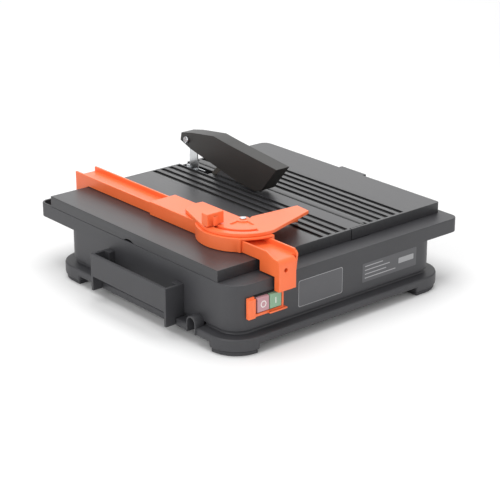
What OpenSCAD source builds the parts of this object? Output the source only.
// Bench tile cutter with a wet diamond disc, a tilting right-hand table,
// a rip fence and a mitre gauge that slides on the fence.
// Millimetres. X runs to the operator's right, Y away from the operator, Z up.
// z = 0 is the bench under the rubber feet. Modules are drawn about the middle
// of the table, and place() moves them so that the origin is under the middle
// of the whole machine.

/* [Table] */
// Width of the whole table, left to right
table_w = 362; // [340:1:440]
// Depth of the table, front to back
table_d = 336; // [320:1:410]
// Height of the table top above the bench
table_h = 96; // [92:1:116]
// Thickness of the table plates
plate_t = 4; // [3:0.5:5]
// Height of the skirt round the table, plate included
skirt_h = 14; // [12:1:16]
// Thickness of the skirt
skirt_t = 3; // [2.5:0.5:4]
// Spacing of the water grooves
groove_pitch = 13.2; // [11:0.1:14]
// Width of a water groove
groove_w = 6.5; // [3:0.5:7]
// Depth of a water groove
groove_deep = 2; // [1:0.5:2.5]
// Number of water grooves left of the disc
left_grooves = 4; // [2:1:6]
// Number of water grooves on the tilting table
right_grooves = 5; // [2:1:7]
// Land left between the ends of the grooves and the table's edge
groove_end = 4; // [3:1:12]
// Length of the finger tab on the tilting table
tab_l = 46; // [30:1:60]
// How far the finger tab stands out
tab_out = 6; // [4:0.5:6.5]

/* [Table hinge] */
// Distance from the disc to the hinge axis
hinge_from_disc = 15.7; // [15:0.1:20]
// Radius of the hinge barrel
barrel_r = 4; // [3.5:0.5:4]
// Radius of the hinge pins
hinge_pin_r = 2; // [1.5:0.1:2.4]
// Length of each hinge pin
hinge_pin_l = 16; // [12:1:24]
// Thickness of the hinge lugs
lug_t = 4; // [3:0.5:6]
// Gap between the two tables along the hinge
table_gap = 0.4; // [0.3:0.1:1]

/* [Housing] */
// Depth of the ledge in front of the table
ledge_d = 28; // [24:1:32]
// How far the rim stands out past the table on the right
rim_right = 7; // [6.5:0.5:12]
// How far the rim stands out past the table at the rear
rim_rear = 28; // [24:1:32]
// Height of the rim band
rim_h = 18; // [14:1:20]
// Overhang of the rim past the lower box on the right
hang_right = 41; // [30:1:50]
// Overhang of the rim past the lower box at the rear
hang_rear = 59; // [50:1:64]
// Corner radius of the lower box
box_r = 26; // [20:1:27]
// Corner radius of the rim on the right and at the rear
rim_r = 12; // [8:1:16]
// Thickness of the moulded walls
wall_t = 3; // [2.5:0.5:4]
// Height of the shadow groove between housing and base
shadow_h = 5; // [3:0.5:6]

/* [Base] */
// How far the base flange stands out round the lower box
flange_out = 12; // [8:1:14]
// Height of the top of the flange
flange_top = 21; // [18:1:24]
// Height of the underside of the flange
flange_low = 11.3; // [9:0.1:13]
// Height of the base's inner collar
collar_top = 34; // [32:1:36]
// Thickness of the rubber foot pads
pad_h = 5; // [3:0.5:7]
// Length of the front left foot
foot_short = 42; // [30:1:50]
// Length of the other three feet
foot_long = 56; // [40:1:70]
// Width of the feet, measured in from the flange edge
foot_w = 22; // [16:1:23]
// How far the pads stand in from the foot blocks
pad_in = 2; // [1:0.5:4]
// Radius of the screw posts in the base
post_r = 6; // [5:0.5:6.5]
// Shank radius of the base screws
screw_r = 2; // [1.5:0.1:2.5]

/* [Water tray] */
// Height of the underside of the tray
tray_low = 3.5; // [2:0.5:5]
// Wall thickness of the tray
tray_t = 2.5; // [2:0.5:3]
// Distance from the lower box's face in to the tray
tray_in = 12; // [11:0.5:16]
// Width of the tray's lip
lip_w = 4.5; // [3:0.5:5]
// Radius of the drain hole
drain_r = 7; // [5:0.5:10]

/* [Disc] */
// Diameter of the diamond disc
disc_d = 110; // [100:1:112]
// Thickness of the diamond rim
disc_rim_t = 2.2; // [1.8:0.1:2.6]
// Thickness of the steel core
disc_core_t = 1.6; // [1.2:0.1:1.8]
// Depth of the diamond rim
disc_rim_w = 7; // [5:0.5:10]
// Radius of the disc's arbor hole
arbor_r = 11.1; // [8:0.1:12.7]
// Distance from the middle of the table right to the disc
disc_x = 36; // [20:1:60]
// Distance from the middle of the table back to the disc's centre
disc_y = 63; // [50:1:66]
// Height of the top of the disc above the table
cut_h = 23; // [18:0.5:26]
// Radius of the clamping flanges
clamp_r = 19; // [16:0.5:22]
// Width of the kerf slot in the table
kerf_w = 5; // [4:0.5:8]
// Width of the wide slot behind the disc, left of the disc's plane
post_slot_left = 9; // [7:0.5:10]
// Width of the wide slot behind the disc, right of the disc's plane
post_slot_right = 4.5; // [4:0.5:6]
// Length of the wide slot, from the rear edge
post_slot_l = 60; // [56:1:66]

/* [Motor] */
// Outer radius of the motor can
can_r = 26; // [24:0.5:26]
// Length of the motor can
can_l = 84; // [76:1:100]
// Thickness of the motor can
can_t = 1.6; // [1.2:0.1:2]
// Radius of the spindle in the motor
spindle_r = 5; // [4:0.5:6]
// Radius of the spindle's threaded end and rear journal
journal_r = 4; // [3:0.5:4.5]
// Radius of the front bearing
front_bearing_r = 13; // [11:0.5:14]
// Width of the front bearing
front_bearing_w = 8; // [7:0.5:9]
// Radius of the rear bearing
rear_bearing_r = 11; // [9:0.5:13]
// Width of the rear bearing
rear_bearing_w = 7; // [6:0.5:8]
// Distance from the bulkhead to the disc
bulkhead_from_disc = 13; // [13:0.5:15]
// Gap between the cooling fan and the can's inside
fan_gap = 3.4; // [2:0.1:5]
// Air gap between the armature and the magnets
air_gap = 0.6; // [0.4:0.1:1]

/* [Guard] */
// Outer width of the guard
guard_w = 22; // [18:0.5:22]
// Wall thickness of the guard
guard_t = 2.5; // [2:0.5:3]
// Thickness of the steel knife that carries the guard
knife_t = 1.8; // [1.4:0.1:2]
// Width of the knife above the table
knife_w = 18; // [16:0.5:20]
// Length of the knife's foot, in the table's slot
knife_foot_l = 39; // [30:0.5:40]
// Distance from the table's rear edge forward to the guard's pivot
pivot_in = 20; // [18:0.5:22]
// Height of the guard's pivot above the table
pivot_up = 38.7; // [36:0.1:40]
// Radius of the guard's pivot bolt
pivot_r = 2.5; // [2:0.1:3]

/* [Fence] */
// Distance from the middle of the table left to the fence's middle
fence_from_mid = 107; // [60:1:140]
// Width of the fence
fence_w = 33; // [28:0.5:40]
// Height of the fence above the table
fence_h = 14.5; // [12:0.5:18]
// Thickness of the fence's walls
fence_t = 2.8; // [2:0.1:3.5]
// Depth from the top of the fence's walls down to its floor
trough_deep = 6; // [4:0.5:8]
// Clearance between the fence and the table
fence_clear = 0.4; // [0.3:0.1:0.8]
// Width of the fence's front leg
leg_w = 26; // [20:0.5:28]
// Thickness of the front leg
leg_t = 8.5; // [6:0.5:10]
// Height of the front leg
leg_h = 38; // [30:1:42]
// Radius of the clamp screw hole in the front leg
leg_hole_r = 2.5; // [2:0.1:4]

/* [Mitre gauge] */
// Wall thickness of the gauge
gauge_t = 3; // [2.5:0.5:4]
// Sliding clearance between the gauge and the fence
gauge_clear = 0.5; // [0.3:0.1:0.8]
// Distance from the middle of the table forward to the gauge's pivot
gauge_y = 100; // [80:1:110]
// Radius of the gauge's protractor base
sector_r = 57; // [50:0.5:60]
// Length of the slide behind the pivot
slide_l = 130; // [100:1:150]
// Thickness of the gauge's arm
arm_t = 4; // [3:0.5:6]
// Length of the arm from the pivot to its tip
arm_l = 80; // [60:1:95]
// Width of the arm at its tip
arm_w = 23; // [18:0.5:30]
// Slope of the arm from square to the fence, in degrees
arm_slope = 5; // [0:0.5:8]
// Radius of the rounded plate round the pivot
arm_disc_r = 53; // [48:0.5:56]
// Length of the arm's leg along the fence
arm_leg_l = 78; // [60:1:84]
// Distance from the fence's left side out to the clamping stud
stud_out = 3.5; // [3.2:0.1:4.5]
// Width of the curved clamping slot
slot_w = 6.5; // [6:0.1:8]
// Radius of the pivot pin
gauge_pin_r = 3; // [2:0.1:3.5]
// Radius of the clamping stud
stud_r = 2.5; // [2:0.1:2.9]
// Length of the locking knob's wings
knob_l = 25; // [18:0.5:30]
// Thickness of the locking knob's wings
knob_w = 11; // [8:0.5:13]
// Height of the locking knob
knob_h = 16; // [12:0.5:20]

/* [Handle] */
// Length of the carry handle
handle_l = 150; // [120:1:180]
// How far the handle stands out from the housing
handle_out = 27; // [24:0.5:34]
// Height of the handle's bar
handle_h = 29.5; // [24:0.5:32]
// Thickness of the handle's bar
handle_t = 4; // [3:0.5:5]
// Distance from the middle of the table forward to the handle's middle
handle_y = 31; // [20:1:50]

/* [Switch] */
// Width of the switch frame
frame_w = 62; // [56:0.5:70]
// Height of the switch frame
frame_h = 29; // [26:0.5:32]
// Width of the switch frame's right side
frame_side = 3; // [2.5:0.5:4]
// Thickness of the switch frame
frame_t = 2.5; // [2:0.1:2.5]
// Distance from the middle of the table left to the switch
switch_from_mid = 131.5; // [100:0.5:140]
// Height of the switch's middle below the ledge
switch_drop = 26.5; // [24:0.5:30]
// Width of one button
button_w = 18.5; // [15:0.5:20]
// Height of one button
button_h = 18; // [15:0.5:19]
// How far a button stands out
button_out = 5; // [3.5:0.5:6]
// Travel of a button
button_travel = 3; // [2:0.5:3]

/* [Fits] */
// Radial clearance of a shaft or pin that turns
run_clear = 0.05; // [0.02:0.01:0.1]
// Radial clearance of a part that is pressed or glued
press_clear = 0.02; // [0.01:0.01:0.05]
// Clearance of a screw in its hole
screw_clear = 0.1; // [0.05:0.05:0.3]
// Gap left at a seat
seat_gap = 0.3; // [0.1:0.1:0.5]
// Clearance all round a button
button_clear = 0.3; // [0.2:0.1:0.5]

/* [Hidden] */
$fn = 48;

black = "#4a4a4d";
grey = "#7b7b7e";
orange = "#f4703f";
steel = "#c9ccd0";
dark_steel = "#8a8d92";
rubber = "#2b2b2d";
copper = "#b87333";

// Heights that several parts share
ledge_z = table_h - skirt_h;
rim_low = ledge_z - rim_h;
plate_low = table_h - plate_t;
box_low = flange_top + shadow_h;
axis_z = table_h + cut_h - disc_d / 2;
mould_low = rim_low + wall_t;

// Edges of the table, the rim and the lower box
tx = table_w / 2;
ty = table_d / 2;
rim_x1 = tx + rim_right;
rim_y0 = -ty - ledge_d;
rim_y1 = ty + rim_rear;
box_x1 = rim_x1 - hang_right;
box_y1 = rim_y1 - hang_rear;
hinge_x = disc_x + hinge_from_disc;
hinge_z = table_h - barrel_r;
left_edge = hinge_x - barrel_r - table_gap;

// The whole machine's box, and the move that centres it
whole_x0 = -tx - handle_out;
whole_x1 = rim_x1;
whole_y0 = rim_y0 - flange_out;
whole_y1 = rim_y1;

// The dry motor bay and its bulkhead
bay_x1 = disc_x - bulkhead_from_disc;
bay_front = 66;
bay_y0 = disc_y - bay_front;
bay_floor = collar_top;
bulk_top = plate_low - 7;
bell_x1 = bay_x1 - wall_t;
bell_x0 = bell_x1 - front_bearing_w;
can_x0 = bell_x0 - can_l;
rear_x0 = can_x0 - rear_bearing_w;
magnet_r = can_r - can_t - press_clear;
magnet_t = 3;
rotor_r = magnet_r - magnet_t - air_gap;
commutator_room = 14;
fan_room = 28;
rotor_x0 = can_x0 + commutator_room;
rotor_x1 = bell_x0 - fan_room;
motor_screw_circle = 20;

// The knife's steel bracket stands on the shelf behind the lower box
bracket_x0 = disc_x + knife_t / 2;
bracket_y0 = box_y1 + 3;
bracket_y1 = ty - skirt_t - 2;
knife_top = table_h - 1.5;
bracket_screw_y = box_y1 + 16;

// The fence and the gauge
fence_x0 = -fence_from_mid - fence_w / 2;
fence_x1 = fence_x0 + fence_w;
fence_low = table_h + fence_clear;
fence_top = table_h + fence_h;
fence_floor = fence_top - trough_deep;
fence_y0 = rim_y0 - 3;
fence_y1 = rim_y1 - 1;
leg_y1 = rim_y0 - frame_t - 1;
leg_y0 = leg_y1 - leg_t;
leg_z0 = fence_floor - leg_h;
leg_drop_z = ledge_z + 1.5;
wall_fall = 14;
lip_r = 6;
lip_out = 4.5;
slide_x0 = fence_x0 - gauge_clear - gauge_t;
slide_x1 = fence_x1 + gauge_clear + gauge_t;
gauge_top = fence_top + gauge_clear + gauge_t - 0.5;
pivot_x = slide_x1 + 1;
arm_low = gauge_top + seat_gap;
arm_top = arm_low + arm_t;
stud_angle = 171;
slot_r = (pivot_x - fence_x0 + stud_out) / -cos(stud_angle);
stud_x = pivot_x + slot_r * cos(stud_angle);
stud_y = -gauge_y + slot_r * sin(stud_angle);

// The guard's pivot; its outline is drawn for a disc this far in front of the pivot, and stretched
guard_y = ty - pivot_in;
guard_z = table_h + pivot_up;
guard_reach = 85;
guard_stretch = (guard_y - disc_y) / guard_reach;

// The switch and the cable outlet
switch_x = -switch_from_mid;
switch_z = ledge_z - switch_drop;
outlet_y = -ty + 33.5;
outlet_z = flange_top + 3.5;
outlet_r = 6.5;

// The screw posts stand inside the corners of the lower box
post_in = 15;
post_wall = 2;

// The feet's long gaps part the front pair from the rear pair here
feet_split_y = 3;

// The tray's drain, in front of the disc
drain_y = -ty + 40;

// The finger notch is a shallow arc of this radius in the left skirt
notch_r = 18.2;
notch_y = 1;

// The handle's screws pass above the floor of the motor bay
handle_screw_z = bay_floor + wall_t + 5;

function arc(x, y, r, a0, a1, n = 8) =
    [for (i = [0:n]) [x + r * cos(a0 + (a1 - a0) * i / n), y + r * sin(a0 + (a1 - a0) * i / n)]];

// A rectangle with its own radius at each corner: front right, rear right, rear left, front left
function round_rect(x0, x1, y0, y1, r) = concat(
    arc(x1 - r[0], y0 + r[0], r[0], -90, 0),
    arc(x1 - r[1], y1 - r[1], r[1], 0, 90),
    arc(x0 + r[2], y1 - r[2], r[2], 90, 180),
    arc(x0 + r[3], y0 + r[3], r[3], 180, 270));

// The lower box's outline, grown by a distance
function box_line(grow) = round_rect(
    -tx - grow, box_x1 + grow, rim_y0 - grow, box_y1 + grow, (box_r + grow) * [1, 1, 1, 1]);

// The rim's outline, grown by a distance
function rim_line(grow) = round_rect(
    -tx - grow, rim_x1 + grow, rim_y0 - grow, rim_y1 + grow,
    [rim_r + grow, rim_r + grow, rim_r + grow, box_r + grow]);

// The tray's outline, with wide corners that clear the screw posts
function tray_line(grow) = round_rect(
    -tx + tray_in - grow, box_x1 - tray_in + grow, rim_y0 + tray_in - grow, box_y1 - tray_in + grow,
    (box_r + 12 + grow) * [1, 1, 1, 1]);

module place() {
    translate([-(whole_x0 + whole_x1) / 2, -(whole_y0 + whole_y1) / 2, 0]) children();
}
module block(x0, x1, y0, y1, z0, z1) {
    translate([x0, y0, z0]) cube([x1 - x0, y1 - y0, z1 - z0]);
}
module slab(points, z0, z1) {
    translate([0, 0, z0]) linear_extrude(z1 - z0) polygon(points);
}
// A plate in the YZ plane from points (y, z)
module side_plate(points, x0, x1) {
    translate([x0, 0, 0]) rotate([90, 0, 90]) linear_extrude(x1 - x0) polygon(points);
}
// A plate in the XZ plane from points (x, z)
module end_plate(points, y0, y1) {
    translate([0, y1, 0]) rotate([90, 0, 0]) linear_extrude(y1 - y0) polygon(points);
}
module rod_x(x0, x1, y, z, r) {
    translate([x0, y, z]) rotate([0, 90, 0]) cylinder(h = x1 - x0, r = r);
}
module rod_y(x, y0, y1, z, r) {
    translate([x, y0, z]) rotate([-90, 0, 0]) cylinder(h = y1 - y0, r = r);
}
module rod_z(x, y, z0, z1, r) {
    translate([x, y, z0]) cylinder(h = z1 - z0, r = r);
}
// A ring about the spindle's axis
module spindle_ring(x0, x1, outer, inner) {
    difference() {
        rod_x(x0, x1, disc_y, axis_z, outer);
        rod_x(x0 - 1, x1 + 1, disc_y, axis_z, inner);
    }
}
// The four screw posts' places
module at_posts() {
    for (x = [-tx + post_in, box_x1 - post_in])
        for (y = [rim_y0 + post_in, box_y1 - post_in])
            translate([x, y, 0]) children();
}
// The motor's four screws stand on a circle round the spindle
module at_motor_screws() {
    for (a = [45:90:315])
        translate([0, disc_y + motor_screw_circle * cos(a), axis_z + motor_screw_circle * sin(a)])
            children();
}
// The carry handle's screws, two at each end
module at_handle_screws() {
    for (y = [-handle_y - handle_l / 2 + 7, -handle_y + handle_l / 2 - 7])
        for (z = [handle_screw_z, handle_screw_z + 12])
            translate([0, y, z]) children();
}

// The window for the switch, through the frame and the front wall
module switch_window() {
    block(switch_x - button_w - 2, switch_x + button_w + 2, rim_y0 - frame_t - 1, rim_y0 + wall_t + 1,
        switch_z - button_h / 2 - 2, switch_z + button_h / 2 + 2);
}

// Housing: the lower box's walls and screw posts
module housing() {
    color(black) place() difference() {
        union() {
            difference() {
                slab(box_line(0), box_low, rim_low);
                slab(box_line(-wall_t), box_low - 1, rim_low + 1);
            }
            at_posts() rod_z(0, 0, collar_top, collar_top + 22, post_r + post_wall);
        }
        at_posts() rod_z(0, 0, collar_top - 1, collar_top + 12, screw_r + screw_clear);
        switch_window();
        at_handle_screws() rod_x(-tx - 1, -tx + wall_t + 1, 0, 0, screw_r + screw_clear);
        rod_x(-tx - 1, -tx + wall_t + 1, outlet_y, outlet_z, outlet_r + press_clear);
    }
}

// Rim: the wide trough on top of the lower box, with the front ledge and the table ribs
module rim() {
    color(black) place() difference() {
        union() {
            difference() {
                slab(rim_line(0), rim_low, ledge_z);
                slab(box_line(-wall_t), rim_low - 1, ledge_z + 1);
                slab(rim_line(-wall_t), mould_low, ledge_z + 1);
            }
            // front ledge
            intersection() {
                slab(rim_line(-1), ledge_z - wall_t, ledge_z);
                block(-tx, rim_x1, rim_y0, -ty + 6, ledge_z - wall_t - 1, ledge_z + 1);
            }
            // ribs that carry the table's rear and right skirts
            for (x = [-tx + 20:50:disc_x - 30])
                block(x, x + wall_t, ty - 20, ty + 2, mould_low - 1, ledge_z);
            for (x = [hinge_x + 20:50:tx - 8])
                block(x, x + wall_t, ty - 20, ty + 2, mould_low - 1, ledge_z - seat_gap);
            for (y = [-ty + 40:60:ty - 30])
                block(tx - 14, tx + 1, y, y + wall_t, mould_low - 1, ledge_z - seat_gap);
        }
        // the tilting table's ear swings down behind the ledge
        block(disc_x - 10, hinge_x + 6, -ty - 0.6, -ty + skirt_t + 0.6, ledge_z - wall_t - 1, ledge_z + 1);
        switch_window();
        // the knife bracket's screw holes
        at_bracket_screws() rod_z(0, 0, rim_low - 1, mould_low + 1, screw_r + screw_clear);
    }
}

// Motor bay: a dry tray inside the lower box, with the bulkhead that carries the motor
module motor_bay() {
    color(black) place() difference() {
        intersection() {
            union() {
                block(-tx, bay_x1, bay_y0, box_y1, bay_floor, bay_floor + wall_t);
                block(-tx, bay_x1, bay_y0, bay_y0 + wall_t, bay_floor, ledge_z - 4);
                block(bell_x1, bay_x1, bay_y0, box_y1, bay_floor, bulk_top);
                // cradle under the rear of the motor
                block(can_x0 + 8, can_x0 + 12,
                    disc_y - can_r - 4, disc_y + can_r + 4, bay_floor, axis_z - 6);
            }
            slab(box_line(-wall_t), bay_floor - 1, table_h);
        }
        at_posts() rod_z(0, 0, bay_floor - 1, bay_floor + 24, post_r + post_wall + seat_gap);
        rod_x(can_x0 + 7, can_x0 + 13, disc_y, axis_z, can_r + seat_gap);
        // spindle seal's seat and the motor's screw holes
        rod_x(bell_x1 - 1, bay_x1 + 1, disc_y, axis_z, spindle_r + 4 + press_clear);
        at_motor_screws() rod_x(bell_x1 - 1, bay_x1 + 1, 0, 0, screw_r + screw_clear);
    }
}

// Base: the flange, the collar inside the housing, the tray's ledge and the foot blocks
module base() {
    color(black) place() difference() {
        union() {
            difference() {
                union() {
                    slab(box_line(flange_out), flange_low, flange_top);
                    slab(box_line(-wall_t - seat_gap), flange_top, collar_top - 1);
                }
                slab(box_line(-2 * wall_t - seat_gap), flange_low + wall_t, collar_top);
                slab(box_line(-2 * wall_t - lip_w), flange_low - 1, flange_low + wall_t + 1);
            }
            foot_blocks(pad_h, flange_low + 1, 0);
            at_posts() rod_z(0, 0, flange_low, collar_top, post_r);
        }
        at_posts() rod_z(0, 0, pad_h, collar_top + 1, screw_r + screw_clear);
        at_posts() rod_z(0, 0, pad_h - 1, flange_low + 3, 2 * screw_r + screw_clear);
        // cable outlet
        rod_x(-tx - flange_out - 1, -tx + 2 * wall_t + 2, outlet_y, outlet_z, outlet_r + press_clear);
        block(-tx - flange_out - 1, -tx - 0.5,
            outlet_y - outlet_r, outlet_y + outlet_r, flange_low - 1, outlet_z);
    }
}

// Ring sectors under the four corners of the flange
module foot_blocks(z0, z1, inset) {
    difference() {
        slab(box_line(flange_out - inset), z0, z1);
        slab(box_line(flange_out - foot_w + inset), z0 - 1, z1 + 1);
        block(-tx - flange_out + foot_long - inset, box_x1 + flange_out - foot_long + inset,
            feet_split_y, rim_y1, z0 - 1, z1 + 1);
        block(-tx - flange_out + foot_short - inset, box_x1 + flange_out - foot_long + inset,
            rim_y0 - 20, feet_split_y, z0 - 1, z1 + 1);
        block(-tx - 20, -tx + 60, rim_y0 - flange_out + foot_short - inset,
            box_y1 + flange_out - foot_long + inset, z0 - 1, z1 + 1);
        block(box_x1 - 60, box_x1 + 20, rim_y0 - flange_out + foot_long - inset,
            box_y1 + flange_out - foot_long + inset, z0 - 1, z1 + 1);
    }
}

module feet() {
    color(rubber) place() foot_blocks(0, pad_h, pad_in);
}

// Screws that hold the housing down on the base
module base_screws() {
    color(steel) place() at_posts() {
        rod_z(0, 0, flange_low + 3, collar_top + 10, screw_r);
        rod_z(0, 0, flange_low + 0.5, flange_low + 3, 2 * screw_r);
    }
}

module water_tray() {
    color(black) place() difference() {
        union() {
            slab(tray_line(0), tray_low, flange_low + wall_t + 1);
            slab(tray_line(lip_w), flange_low + wall_t, flange_low + wall_t + tray_t);
        }
        slab(tray_line(-tray_t), tray_low + tray_t, flange_low + wall_t + tray_t + 1);
        rod_z(disc_x, drain_y, tray_low - 1, tray_low + tray_t + 1, drain_r);
    }
}

module drain_plug() {
    color(rubber) place() {
        rod_z(disc_x, drain_y, tray_low - 1, tray_low + tray_t, drain_r - press_clear);
        rod_z(disc_x, drain_y, tray_low + tray_t, tray_low + tray_t + 2, drain_r + 2);
    }
}

// Carry handle: a bar on two end plates, open above and below
module carry_handle() {
    bar_z1 = box_low + 6 + handle_h;
    color(black) place() difference() {
        union() {
            block(-tx - handle_out, -tx - handle_out + handle_t,
                -handle_y - handle_l / 2, -handle_y + handle_l / 2, bar_z1 - handle_h, bar_z1);
            for (y = [-handle_y - handle_l / 2, -handle_y + handle_l / 2 - handle_t])
                end_plate([
                    [-tx, flange_top + seat_gap], [-tx, bar_z1], [-tx - handle_out, bar_z1],
                    [-tx - handle_out, flange_low + 2], [-tx - flange_out - 1, flange_low + 2],
                    [-tx - flange_out - 1, flange_top + seat_gap]], y, y + handle_t);
            // feet that take the screws
            for (y = [-handle_y - handle_l / 2, -handle_y + handle_l / 2 - 13])
                block(-tx - 8, -tx, y, y + 13, bar_z1 - handle_h, bar_z1);
        }
        at_handle_screws() rod_x(-tx - 7, -tx + 1, 0, 0, screw_r + screw_clear);
    }
}

module handle_screws() {
    color(steel) place() at_handle_screws() {
        rod_x(-tx - 6, -tx + wall_t, 0, 0, screw_r);
        rod_x(-tx + wall_t, -tx + wall_t + 2, 0, 0, 2 * screw_r);
    }
}

// Water grooves, square at both ends
module grooves(x_first, count, step) {
    for (i = [0:count - 1])
        block(x_first + i * step - groove_w / 2, x_first + i * step + groove_w / 2,
            -ty + groove_end, ty - groove_end, table_h - groove_deep, table_h + 1);
}

// Left table: plate, skirt, hinge lugs, grooves and the disc's slots
module fixed_table() {
    kerf_y0 = disc_y - disc_d / 2 + 1;
    color(grey) place() difference() {
        union() {
            block(-tx, left_edge, -ty, ty, plate_low, table_h);
            difference() {
                block(-tx, left_edge, -ty, ty, ledge_z, table_h);
                block(-tx + skirt_t, left_edge + 1,
                    -ty + skirt_t, ty - skirt_t, ledge_z - 1, plate_low);
            }
            // stiffening ribs
            for (y = [-ty + 60, -ty + 120])
                block(-tx + skirt_t - 1, left_edge - 6, y, y + skirt_t, plate_low - 5, plate_low + 1);
            // lugs
            for (y = [-ty + skirt_t + table_gap, ty - skirt_t - table_gap - lug_t]) {
                rod_y(hinge_x, y, y + lug_t, hinge_z, barrel_r);
                block(left_edge - 8, hinge_x, y, y + lug_t, hinge_z - barrel_r, hinge_z + barrel_r);
            }
        }
        // room for the tilting table's ear
        block(disc_x - 9, left_edge + 1,
            -ty - 1, -ty + skirt_t + table_gap / 2, ledge_z - 1, table_h + 1);
        grooves(disc_x - 14.5 - (left_grooves - 1) * groove_pitch, left_grooves, groove_pitch);
        block(disc_x - kerf_w / 2, disc_x + kerf_w / 2,
            kerf_y0, ty - post_slot_l + 1, ledge_z - 1, table_h + 1);
        block(disc_x - post_slot_left, disc_x + post_slot_right, ty - post_slot_l, ty + 1,
            ledge_z - 1, table_h + 1);
        for (y = [-ty, ty - 2 * lug_t])
            rod_y(hinge_x, y, y + 2 * lug_t, hinge_z, hinge_pin_r + press_clear);
        // finger notch in the left skirt
        rod_x(-tx - 1, -tx + skirt_t + 1, notch_y, ledge_z + 3 - notch_r, notch_r);
    }
}

// Right table: tilts up about the hinge
module tilt_table() {
    barrel_end = ty - skirt_t - 2 * table_gap - lug_t;
    color(grey) place() difference() {
        union() {
            difference() {
                slab(round_rect(hinge_x, tx, -ty, ty, [4, 12, 4, 4]), ledge_z, table_h);
                block(hinge_x - 1, tx - skirt_t, -ty + skirt_t, ty - skirt_t, ledge_z - 1, plate_low);
            }
            rod_y(hinge_x, -barrel_end, barrel_end, hinge_z, barrel_r);
            // ear on the front skirt, past the hinge
            block(disc_x - 8, hinge_x + 6, -ty, -ty + skirt_t, ledge_z, table_h);
            block(tx - 1, tx + tab_out, -tab_l / 2 - 6, tab_l / 2 - 6, plate_low, table_h);
            for (y = [-ty + 70, -ty + 140, -ty + 210, -ty + 270])
                block(hinge_x + 12, tx - skirt_t + 1, y, y + skirt_t, plate_low - 5, plate_low + 1);
        }
        grooves(hinge_x + 12.7, right_grooves, groove_pitch - 0.2);
        // room for the lugs
        for (y = [-ty + skirt_t, ty - skirt_t - lug_t - 2 * table_gap])
            block(hinge_x - barrel_r - 1, hinge_x + barrel_r + table_gap, y, y + lug_t + 2 * table_gap,
                ledge_z - 1, table_h + 1);
        for (y = [-ty + skirt_t, ty - skirt_t - hinge_pin_l - 2])
            rod_y(hinge_x, y, y + hinge_pin_l + 2, hinge_z, hinge_pin_r + run_clear);
    }
}

module hinge_pins() {
    color(steel) place()
        for (y = [-ty + skirt_t + seat_gap, ty - skirt_t - seat_gap - hinge_pin_l])
            rod_y(hinge_x, y, y + hinge_pin_l, hinge_z, hinge_pin_r);
}

module motor_can() {
    color(dark_steel) place() spindle_ring(can_x0, bell_x0, can_r, can_r - can_t);
}

module magnets() {
    color(rubber) place() difference() {
        spindle_ring(rotor_x0 - 2, rotor_x1 + 2, magnet_r, magnet_r - magnet_t);
        block(rotor_x0 - 5, rotor_x1 + 5, disc_y - can_r, disc_y + can_r, axis_z - 8, axis_z + 8);
    }
}

module front_end_bell() {
    color(dark_steel) place() difference() {
        spindle_ring(bell_x0, bell_x1, can_r, front_bearing_r + press_clear);
        at_motor_screws() rod_x(bell_x0 - 1, bell_x1 + 1, 0, 0, screw_r + screw_clear);
    }
}

module rear_end_bell() {
    color(dark_steel) place() spindle_ring(rear_x0, can_x0, can_r, rear_bearing_r + press_clear);
}

module motor_screws() {
    color(steel) place() at_motor_screws() {
        rod_x(bell_x0 + 1, bay_x1, 0, 0, screw_r);
        rod_x(bay_x1, bay_x1 + 2.5, 0, 0, 1.8 * screw_r);
    }
}

module front_bearing_ring() {
    color(steel) place() spindle_ring(bell_x0, bell_x1, front_bearing_r, spindle_r + run_clear);
}

module rear_bearing_ring() {
    color(steel) place() spindle_ring(rear_x0, can_x0, rear_bearing_r, journal_r + run_clear);
}

// Brush holders hang inside the can, either side of the commutator
module brush_holders() {
    color("#6b4a2f") place() for (s = [-1, 1])
        translate([can_x0 + 6, disc_y, axis_z]) difference() {
            rotate([s * 90, 0, 0]) translate([0, 0, -sqrt(magnet_r * magnet_r - 25) + 0.1])
                linear_extrude(magnet_r - 12) square([10, 10], center = true);
            rotate([s * 90, 0, 0]) translate([0, 0, -magnet_r - 1])
                linear_extrude(magnet_r - 5) square([6 + seat_gap, 6 + seat_gap], center = true);
        }
}

module carbon_brushes() {
    color(rubber) place() for (s = [-1, 1])
        translate([can_x0 + 6, disc_y, axis_z]) rotate([s * 90, 0, 0])
            translate([0, 0, -magnet_r + 3]) linear_extrude(magnet_r - 3 - 9 - seat_gap)
                square([6, 6], center = true);
}

module armature() {
    color(copper) place() difference() {
        union() {
            rod_x(rotor_x0, rotor_x1, disc_y, axis_z, rotor_r);
            rod_x(rotor_x0 - 3, rotor_x1 + 6, disc_y, axis_z, rotor_r - 4);
        }
        rod_x(rotor_x0 - 4, rotor_x1 + 7, disc_y, axis_z, spindle_r + press_clear);
    }
}

module commutator() {
    color(copper) place() spindle_ring(can_x0 + 2, can_x0 + 10, 9, spindle_r + press_clear);
}

// Cooling fan: a back plate with eight straight blades
module cooling_fan() {
    fan_x = bell_x0 - 14;
    fan_r = magnet_r - fan_gap;
    color(rubber) place() difference() {
        union() {
            rod_x(fan_x, fan_x + 8, disc_y, axis_z, 8);
            rod_x(fan_x, fan_x + 1.5, disc_y, axis_z, fan_r);
            for (a = [0:45:315])
                translate([fan_x, disc_y, axis_z]) rotate([a, 0, 0])
                    translate([0, 6, -0.75]) cube([8, fan_r - 7, 1.5]);
        }
        rod_x(fan_x - 1, fan_x + 9, disc_y, axis_z, spindle_r + press_clear);
    }
}

module spindle() {
    color(steel) place() {
        rod_x(rear_x0 - 1, can_x0 + 1, disc_y, axis_z, journal_r);
        rod_x(can_x0 + 1, disc_x - 6, disc_y, axis_z, spindle_r);
        rod_x(disc_x - 6, disc_x + 13.5, disc_y, axis_z, journal_r);
    }
}

module shaft_seal() {
    color(rubber) place() spindle_ring(bell_x1 + 0.2, bay_x1 + 1.5, spindle_r + 4, spindle_r + run_clear);
}

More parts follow.
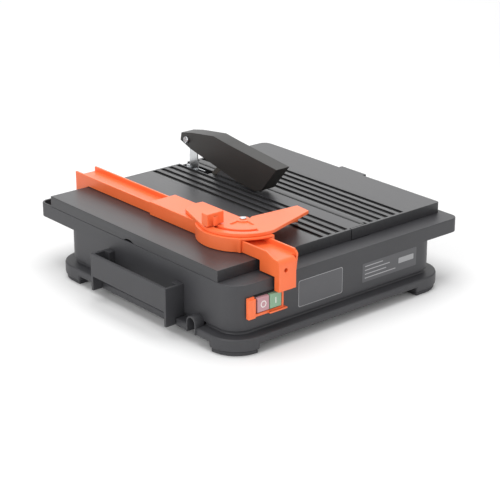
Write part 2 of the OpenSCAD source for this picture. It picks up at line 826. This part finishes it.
module inner_flange() {
    face = disc_x - disc_core_t / 2;
    color(dark_steel) place() difference() {
        union() {
            rod_x(disc_x - 6, face, disc_y, axis_z, clamp_r);
            rod_x(face - 1, disc_x + 0.6, disc_y, axis_z, arbor_r - run_clear);
        }
        rod_x(disc_x - 7, disc_x + 2, disc_y, axis_z, journal_r + press_clear);
    }
}

module disc_core() {
    color(steel) place()
        spindle_ring(disc_x - disc_core_t / 2, disc_x + disc_core_t / 2,
            disc_d / 2 - disc_rim_w - press_clear, arbor_r);
}

module disc_rim() {
    color(dark_steel) place()
        spindle_ring(disc_x - disc_rim_t / 2, disc_x + disc_rim_t / 2, disc_d / 2, disc_d / 2 - disc_rim_w);
}

module outer_flange() {
    color(dark_steel) place()
        spindle_ring(disc_x + disc_core_t / 2, disc_x + disc_core_t / 2 + 3.5,
            clamp_r, journal_r + press_clear);
}

module spindle_nut() {
    nut_x = disc_x + disc_core_t / 2 + 3.5;
    color(steel) place() difference() {
        translate([nut_x, disc_y, axis_z]) rotate([0, 90, 0]) cylinder(h = 6.5, r = 9.5, $fn = 6);
        rod_x(nut_x - 1, nut_x + 8, disc_y, axis_z, journal_r + press_clear);
    }
}

// Knife: a foot in the table's slot, and a strip up to the guard's pivot
module riving_knife() {
    foot_y1 = bracket_y1;
    strip_y0 = guard_y - 10;
    color(steel) place() difference() {
        side_plate(concat(
            [[foot_y1 - knife_foot_l, plate_low - 6], [foot_y1 - knife_foot_l, knife_top],
                [strip_y0, knife_top], [strip_y0 + 1, table_h + 12]],
            arc(guard_y, guard_z, 6.5, 180, 0, 8),
            [[strip_y0 + knife_w, table_h + 12], [strip_y0 + knife_w, knife_top],
                [foot_y1, knife_top], [foot_y1, mould_low + 3], [bracket_y0, mould_low + 3]]),
            disc_x - knife_t / 2, bracket_x0);
        rod_x(disc_x - 2, disc_x + 2, guard_y, guard_z, pivot_r + run_clear);
        at_knife_bolts() rod_x(disc_x - 2, disc_x + 2, 0, 0, screw_r + screw_clear);
    }
}
module at_knife_bolts() {
    for (y = [bracket_y0 + 4, bracket_y1 - 5])
        translate([0, y, plate_low - 2]) children();
}
module at_bracket_screws() {
    for (x = [disc_x - 16, disc_x + 8])
        translate([x, bracket_screw_y, 0]) children();
}

// Steel angle that carries the knife on the housing's rear shelf
module knife_bracket() {
    color(dark_steel) place() difference() {
        union() {
            block(disc_x - 20, bracket_x0 + 10, bracket_y0, bracket_y1, mould_low, mould_low + 2.5);
            block(bracket_x0, bracket_x0 + 2.5, bracket_y0, bracket_y1, mould_low, knife_top);
        }
        at_knife_bolts() rod_x(bracket_x0 - 1, bracket_x0 + 4, 0, 0, screw_r + screw_clear);
        at_bracket_screws() rod_z(0, 0, mould_low - 1, mould_low + 4, screw_r + screw_clear);
    }
}

module knife_bolts() {
    x0 = disc_x - knife_t / 2;
    color(steel) place() at_knife_bolts() {
        rod_x(x0, bracket_x0 + 2.5, 0, 0, screw_r);
        rod_x(x0 - 3, x0, 0, 0, 1.8 * screw_r);
        rod_x(bracket_x0 + 2.5, bracket_x0 + 3.5, 0, 0, 1.4 * screw_r);
    }
}

module bracket_screws() {
    color(steel) place() at_bracket_screws() {
        rod_z(0, 0, rim_low - 2, mould_low + 2.5, screw_r);
        rod_z(0, 0, mould_low + 2.5, mould_low + 4.5, 1.8 * screw_r);
    }
}

// Side outline of the guard, as (y, z) from its pivot
guard_top = [[12.5, 7.3], [-9, 11.7], [-56, 17.7], [-85, 13.7], [-181.6, 2.7]];
guard_bottom = [
    [-152.5, -32], [-140.3, -36.4], [-112, -34.2], [-38.5, -18.3], [-6.3, -11.3], [14.8, -3.7]
];
guard_nose = [[-176, 2.7], [-148, -28.5]];
function guard_line(points, lower) =
    [for (p = points) [guard_y + guard_stretch * p[0], guard_z + p[1] - lower]];

// Guard: an upturned channel over the disc, open below and at the rear
module guard() {
    x0 = disc_x - guard_w / 2;
    x1 = disc_x + guard_w / 2;
    inner_top = guard_line(guard_top, guard_t);
    color("#3a3835") place() difference() {
        side_plate(concat(guard_line(guard_top, 0), guard_line(guard_bottom, 0)), x0, x1);
        side_plate(concat([[guard_y + 30, guard_z + 2]],
            [for (i = [0:3]) inner_top[i]],
            guard_line(guard_nose, guard_t),
            guard_line([for (i = [1:5]) guard_bottom[i]], 8), [[guard_y + 30, guard_z - 12]]),
            x0 + guard_t, x1 - guard_t);
        rod_x(x0 - 1, x1 + 1, guard_y, guard_z, pivot_r + run_clear);
    }
}

module guard_bolt() {
    x0 = disc_x - guard_w / 2;
    color(steel) place() {
        rod_x(x0 - 0.3, disc_x + guard_w / 2 + 4, guard_y, guard_z, pivot_r);
        rod_x(x0 - 3.5, x0 - 0.3, guard_y, guard_z, 2 * pivot_r);
    }
}

module guard_nut() {
    nut_x = disc_x + guard_w / 2 + 0.3;
    color(steel) place() difference() {
        translate([nut_x, guard_y, guard_z]) rotate([0, 90, 0])
            cylinder(h = 3.4, r = 1.8 * pivot_r, $fn = 6);
        rod_x(nut_x - 1, nut_x + 5, guard_y, guard_z, pivot_r + press_clear);
    }
}

// Fence: a trough across the table, hooked over its front and rear edges
module fence() {
    color(orange) place() difference() {
        union() {
            // the left wall slopes down to the front leg, the right wall keeps its height
            side_plate([[fence_y0, fence_low], [fence_y0, fence_floor], [fence_y0 + wall_fall, fence_top],
                [fence_y1, fence_top], [fence_y1, fence_low]], fence_x0, fence_x0 + fence_t);
            block(fence_x1 - fence_t, fence_x1, fence_y0, fence_y1, fence_low, fence_top);
            for (x = [fence_x0, fence_x1 - fence_t]) {
                block(x, x + fence_t, ty + 0.6, fence_y1, leg_drop_z + 0.5, fence_top - 1);
                block(x, x + fence_t, fence_y0, -ty - 5.7, leg_drop_z, fence_floor);
            }
            block(fence_x0 + 1, fence_x1 - 1, fence_y0, fence_y1, fence_floor - fence_t, fence_floor);
            block(fence_x0 + 1, fence_x1 - 1, fence_y1 - fence_t, fence_y1, leg_drop_z + 0.5, fence_floor);
            // front leg and the curved lip beside it
            side_plate(concat([[fence_y0 + 1, leg_drop_z], [fence_y0 + 1, fence_floor]],
                arc(leg_y0 + 6, fence_floor - 6, 6, 90, 180, 6),
                [[leg_y0, leg_z0], [leg_y1, leg_z0], [leg_y1, leg_drop_z]]),
                fence_x0, fence_x0 + leg_w);
            side_plate(concat([[fence_y0 + 1, leg_drop_z], [fence_y0 + 1, fence_top]],
                arc(fence_y0 - lip_out + lip_r, fence_top - lip_r - 1, lip_r, 80, 170, 6),
                [[fence_y0 - lip_out + 3, leg_drop_z]]),
                fence_x1 - fence_t, fence_x1);
        }
        rod_y(fence_x0 + 10.5, leg_y0 - 1, fence_y0 + 10, table_h - 4.5, leg_hole_r);
    }
}

// Gauge base: a cap that slides along the fence, with a half-round protractor base
module gauge_base() {
    y0 = -gauge_y - sector_r;
    y1 = -gauge_y + slide_l;
    color(orange) place() difference() {
        union() {
            block(slide_x0, slide_x1, y0 + 14, y1, fence_low, gauge_top);
            difference() {
                slab(arc(pivot_x, -gauge_y, sector_r, 90, 270, 20), fence_low, gauge_top);
                slab(arc(pivot_x, -gauge_y, sector_r - gauge_t, 90, 270, 20),
                    fence_low - 1, gauge_top - gauge_t);
            }
            rod_z(pivot_x, -gauge_y, fence_low, gauge_top, 8);
            rod_z(stud_x, stud_y, fence_low, gauge_top - 1, 6);
        }
        block(fence_x0 - gauge_clear, fence_x1 + gauge_clear,
            y0 - 1, y1 + 1, fence_low - 1, fence_top + gauge_clear);
        rod_z(pivot_x, -gauge_y, gauge_top - 12, gauge_top + 1, gauge_pin_r + press_clear);
        rod_z(stud_x, stud_y, gauge_top - 12, gauge_top + 1, stud_r + press_clear);
    }
}

// Gauge arm: turns about the pivot, with its working face towards the disc
module gauge_arm() {
    tip = [arm_l, -arm_l * tan(arm_slope)];
    root = [12, -12 * tan(arm_slope)];
    color(orange) place() translate([pivot_x, -gauge_y, 0]) difference() {
        union() {
            slab(concat(
                [[1, -8], [1, arm_leg_l], [-11, arm_leg_l + 1.5], [-32, arm_leg_l - 8]],
                arc(0, 0, arm_disc_r, 163, 272, 12),
                [[tip[0] - 2, tip[1] - arm_w], tip, root]), arm_low, arm_top);
            rod_z(0, 0, arm_low, arm_top, 8);
            slab([root, [root[0], root[1] - gauge_t], [tip[0] - 1, tip[1] - gauge_t], tip],
                fence_low + 1, arm_top);
        }
        slab(concat(
            arc(0, 0, slot_r + slot_w / 2, 167, 254, 12), arc(0, 0, slot_r - slot_w / 2, 254, 167, 12)),
            arm_low - 1, arm_top + 1);
        slab(concat(arc(0, 0, 25, 190, 262, 8), arc(0, 0, 10, 262, 190, 8)), arm_top - 1.5, arm_top + 1);
        rod_z(0, 0, arm_low - 1, arm_top + 1, gauge_pin_r + run_clear);
    }
}

module pivot_pin() {
    color(steel) place() {
        rod_z(pivot_x, -gauge_y, gauge_top - 12, arm_top + 0.3, gauge_pin_r);
        rod_z(pivot_x, -gauge_y, arm_top + 0.3, arm_top + 1.8, 1.4 * gauge_pin_r);
    }
}

module clamp_stud() {
    color(steel) place() rod_z(stud_x, stud_y, gauge_top - 12, arm_top + knob_h - 4, stud_r);
}

// Locking knob: a collar with two wings
module lock_knob() {
    z0 = arm_top + seat_gap;
    color(orange) place() translate([stud_x, stud_y, 0]) difference() {
        union() {
            rod_z(0, 0, z0, z0 + knob_h - 4, 6.5);
            block(-knob_l / 2, knob_l / 2, -knob_w / 2, knob_w / 2, z0 + 1, z0 + knob_h);
        }
        rod_z(0, 0, z0 - 1, z0 + knob_h - 3, stud_r + run_clear);
    }
}

// Switch frame: open at the top, with a raised bar on the left and a lip under the right button
module switch_frame() {
    low = switch_z - frame_h / 2;
    right = switch_x + button_w + 2 + frame_side;
    color(orange) place() difference() {
        union() {
            block(switch_x - frame_w / 2, right, rim_y0 - frame_t, rim_y0, low, switch_z + button_h / 2 + 2);
            block(switch_x - frame_w / 2, switch_x - button_w - 2, rim_y0 - button_out, rim_y0,
                low, switch_z + button_h / 2);
            block(switch_x, right + frame_side, rim_y0 - button_out - 1, rim_y0, low, low + frame_side - 1);
        }
        switch_window();
    }
}

// Switch body: a block behind the window with a pocket for each button
module switch_body() {
    half_w = button_w + 1.7;
    half_h = button_h / 2 + 1.7;
    color(rubber) place() difference() {
        block(switch_x - half_w, switch_x + half_w,
            rim_y0 - 1, rim_y0 + 28, switch_z - half_h, switch_z + half_h);
        for (s = [-1, 1])
            translate([switch_x + s * button_w / 2, 0, switch_z])
                block(-button_w / 2 + 0.2, button_w / 2 - 0.2, rim_y0 - 2, rim_y0 + 12,
                    -button_h / 2 - button_clear, button_h / 2 + button_clear);
    }
}

module button(s) {
    translate([switch_x + s * button_w / 2, 0, switch_z])
        block(-button_w / 2 + 0.2 + button_clear, button_w / 2 - 0.2 - button_clear,
            rim_y0 - button_out, rim_y0 + 12 - button_travel - 0.5, -button_h / 2, button_h / 2);
}
module off_button() {
    color("#c9898f") place() button(-1);
}
module on_button() {
    color("#a9c3a0") place() button(1);
}

// Rubber bush in the cable outlet
module cable_gland() {
    color(rubber) place() difference() {
        union() {
            rod_x(-tx - 4, -tx + 2 * wall_t + 3, outlet_y, outlet_z, outlet_r);
            rod_x(-tx + 2 * wall_t + seat_gap, -tx + 2 * wall_t + 3, outlet_y, outlet_z, outlet_r + 1);
        }
        rod_x(-tx - 5, -tx + 2 * wall_t + 4, outlet_y, outlet_z, outlet_r - 3);
    }
}

housing();
rim();
motor_bay();
base();
feet();
base_screws();
water_tray();
drain_plug();
carry_handle();
handle_screws();
fixed_table();
tilt_table();
hinge_pins();
motor_can();
magnets();
front_end_bell();
rear_end_bell();
motor_screws();
front_bearing_ring();
rear_bearing_ring();
brush_holders();
carbon_brushes();
armature();
commutator();
cooling_fan();
spindle();
shaft_seal();
inner_flange();
disc_core();
disc_rim();
outer_flange();
spindle_nut();
riving_knife();
knife_bracket();
knife_bolts();
bracket_screws();
guard();
guard_bolt();
guard_nut();
fence();
gauge_base();
gauge_arm();
pivot_pin();
clamp_stud();
lock_knob();
switch_frame();
switch_body();
off_button();
on_button();
cable_gland();
